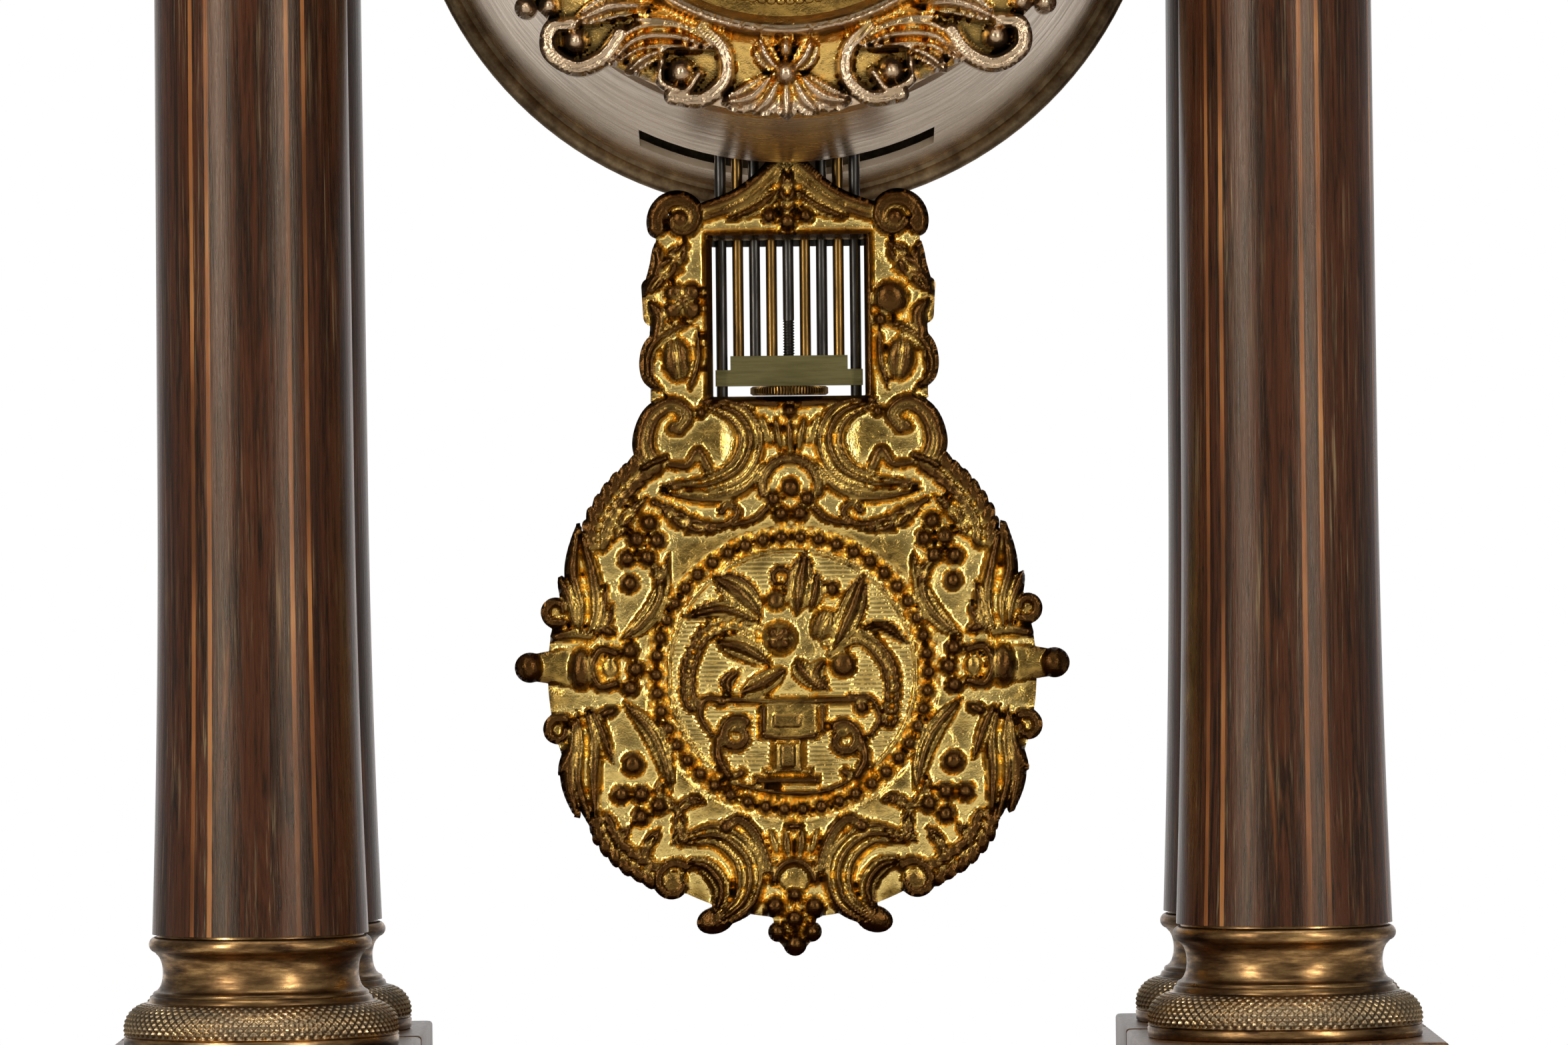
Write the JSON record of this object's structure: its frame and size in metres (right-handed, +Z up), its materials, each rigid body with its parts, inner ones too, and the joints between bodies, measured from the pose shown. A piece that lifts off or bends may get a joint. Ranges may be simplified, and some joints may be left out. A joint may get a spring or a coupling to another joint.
{
  "type": "portico clock",
  "caption": "Mantel clock with wooden columns on a moulded base, a hanging drum with dial and movement, and a gilt gridiron pendulum.",
  "frame": {"origin": "bottom centre of the base, on the plane the feet stand on", "axes": "+Z up, the dial faces -Y, +X to the right seen from the front"},
  "size_m": [0.256, 0.133, 0.44],
  "materials": {
    "rosewood_veneer": "french polished rosewood with light stringing",
    "ebonised_wood": "ebonised, satin",
    "aged_brass": "turned and knurled, aged",
    "rosewood_dark": "french polished rosewood, worn, with light stringing",
    "steel": "bright drawn, lightly tarnished",
    "silvered_brass": "brushed round the axis, warm grey",
    "dark_bronze": "dark patinated",
    "gilt_bronze": "cast and gilt, worn to brown on the high points",
    "enamel": "white enamel with black numerals",
    "movement_brass": "polished",
    "bell_metal": "cast and turned",
    "lead": "dull grey filling",
    "blued_steel": "blued",
    "clear_glass": "clear, flat"
  },
  "bodies": {
    "case": {"base_block": "rosewood_veneer", "base_moulding": "rosewood_veneer", "base_top_board": "rosewood_veneer", "base_feet": "ebonised_wood", "column_plinths": "rosewood_veneer", "column_bases": "aged_brass", "column_shaft_fl": "rosewood_dark", "column_shaft_fr": "rosewood_dark", "column_shaft_rl": "rosewood_dark", "column_shaft_rr": "rosewood_dark", "column_capitals": "aged_brass", "column_abaci": "rosewood_veneer", "tie_rods": "steel", "tie_rod_nuts": "steel", "architrave": "rosewood_veneer", "frieze": "rosewood_veneer", "cornice": "rosewood_veneer", "top_slab": "rosewood_veneer", "drum_saddle": "aged_brass", "saddle_screws": "steel", "drum_shell": "silvered_brass", "drum_rear_rim": "dark_bronze", "dial_mount": "gilt_bronze", "dial": "enamel", "movement_posts": "movement_brass", "front_plate": "movement_brass", "back_plate": "movement_brass", "plate_pillars": "movement_brass", "suspension_cock": "movement_brass", "bell_post": "movement_brass", "bell": "bell_metal"},
    "pendulum": {"suspension_spring": "steel", "centre_rod": "steel"},
    "bob": {"steel_rods": "steel", "brass_rods": "movement_brass", "rod_bars": "movement_brass", "bob_casting": "gilt_bronze", "bob_backing": "lead"},
    "rating_nut": {"rating_nut": "movement_brass"},
    "anchor": {"anchor": "steel"},
    "minute": {"cannon_pinion": "movement_brass", "minute_hand": "blued_steel"},
    "hour": {"hour_wheel": "movement_brass", "hour_hand": "blued_steel"},
    "minute_wheel": {"minute_wheel": "movement_brass"},
    "third_wheel": {"third_wheel": "movement_brass"},
    "centre_wheel": {"centre_wheel": "movement_brass"},
    "escape_wheel": {"escape_wheel": "movement_brass"},
    "intermediate_wheel": {"intermediate_wheel": "movement_brass"},
    "going_barrel": {"going_barrel": "movement_brass"},
    "going_arbor": {"going_arbor": "steel"},
    "strike_pin_wheel": {"strike_pin_wheel": "movement_brass"},
    "strike_barrel": {"strike_barrel": "movement_brass"},
    "strike_fly": {"strike_fly": "movement_brass"},
    "strike_arbor": {"strike_arbor": "steel"},
    "hammer": {"hammer": "steel"},
    "glass_bezel": {"glass_bezel": "gilt_bronze", "bezel_glass": "clear_glass"},
    "rear_door": {"rear_door": "movement_brass", "door_knob": "aged_brass"}
  },
  "joints": [
    {"name": "pendulum_swing", "type": "hinge", "parent": "case", "child": "pendulum", "pos_m": [0.004, 0.0046, 0.31835], "axis": [0, 1, 0], "range_deg": [-4.5, 4.5]},
    {"name": "bob_slide", "type": "slide", "parent": "pendulum", "child": "bob", "axis": [0, 0, 1], "range_m": [-0.002, 0.002]},
    {"name": "rating_nut_turn", "type": "hinge", "parent": "bob", "child": "rating_nut", "pos_m": [0.004, 0.0046, 0.183], "axis": [0, 0, 1], "range_deg": [-1441, 1441]},
    {"name": "anchor_rock", "type": "hinge", "parent": "case", "child": "anchor", "pos_m": [0.004, 0.0046, 0.31835], "axis": [0, 1, 0], "range_deg": [-4.6, 4.6]},
    {"name": "minute_turn", "type": "hinge", "parent": "case", "child": "minute", "pos_m": [0.004, -0.02, 0.284], "axis": [0, 1, 0], "continuous": true},
    {"name": "hour_turn", "type": "hinge", "parent": "case", "child": "hour", "pos_m": [0.004, -0.02, 0.284], "axis": [0, 1, 0], "continuous": true},
    {"name": "minute_wheel_turn", "type": "hinge", "parent": "case", "child": "minute_wheel", "pos_m": [0.01, -0.02, 0.29439], "axis": [0, 1, 0], "continuous": true},
    {"name": "third_turn", "type": "hinge", "parent": "case", "child": "third_wheel", "pos_m": [-0.00158, -0.02, 0.29596], "axis": [0, 1, 0], "continuous": true},
    {"name": "centre_turn", "type": "hinge", "parent": "case", "child": "centre_wheel", "pos_m": [0.004, -0.02, 0.284], "axis": [0, 1, 0], "continuous": true},
    {"name": "escape_turn", "type": "hinge", "parent": "case", "child": "escape_wheel", "pos_m": [0.004, -0.02, 0.30595], "axis": [0, 1, 0], "continuous": true},
    {"name": "intermediate_turn", "type": "hinge", "parent": "case", "child": "intermediate_wheel", "pos_m": [0.01536, -0.02, 0.29343], "axis": [0, 1, 0], "continuous": true},
    {"name": "going_barrel_turn", "type": "hinge", "parent": "case", "child": "going_barrel", "pos_m": [0.0226, -0.02, 0.275], "axis": [0, 1, 0], "continuous": true},
    {"name": "going_wind", "type": "hinge", "parent": "case", "child": "going_arbor", "pos_m": [0.0226, -0.02, 0.275], "axis": [0, 1, 0], "continuous": true},
    {"name": "strike_pin_turn", "type": "hinge", "parent": "case", "child": "strike_pin_wheel", "pos_m": [-0.00206, -0.02, 0.25968], "axis": [0, 1, 0], "continuous": true},
    {"name": "strike_barrel_turn", "type": "hinge", "parent": "case", "child": "strike_barrel", "pos_m": [-0.0146, -0.02, 0.275], "axis": [0, 1, 0], "continuous": true},
    {"name": "strike_fly_turn", "type": "hinge", "parent": "case", "child": "strike_fly", "pos_m": [0.01013, -0.02, 0.25861], "axis": [0, 1, 0], "continuous": true},
    {"name": "strike_wind", "type": "hinge", "parent": "case", "child": "strike_arbor", "pos_m": [-0.0146, -0.02, 0.275], "axis": [0, 1, 0], "continuous": true},
    {"name": "hammer_lift", "type": "hinge", "parent": "case", "child": "hammer", "pos_m": [-0.03, 0.006, 0.27], "axis": [0, -1, 0], "range_deg": [0, 12]},
    {"name": "glass_bezel_open", "type": "hinge", "parent": "case", "child": "glass_bezel", "pos_m": [0.0446, -0.05215, 0.284], "axis": [0, 0, 1], "range_deg": [0, 100]},
    {"name": "rear_door_open", "type": "hinge", "parent": "case", "child": "rear_door", "pos_m": [-0.0668, 0.02795, 0.284], "axis": [0, 0, 1], "range_deg": [0, 105]}
  ],
  "couplings": [
    {"joint": "rating_nut_turn", "follows": "bob_slide", "rad_per_m": 12566},
    {"joint": "anchor_rock", "follows": "pendulum_swing", "ratio": 1},
    {"joint": "hour_turn", "follows": "minute_turn", "ratio": 0.083333},
    {"joint": "minute_wheel_turn", "follows": "minute_turn", "ratio": -0.33333},
    {"joint": "centre_turn", "follows": "third_turn", "ratio": -0.1},
    {"joint": "escape_turn", "follows": "third_turn", "ratio": -10},
    {"joint": "intermediate_turn", "follows": "third_turn", "ratio": 0.013889},
    {"joint": "going_barrel_turn", "follows": "third_turn", "ratio": -0.0017361},
    {"joint": "strike_barrel_turn", "follows": "strike_pin_turn", "ratio": -0.125},
    {"joint": "strike_fly_turn", "follows": "strike_pin_turn", "ratio": -7.5}
  ]
}
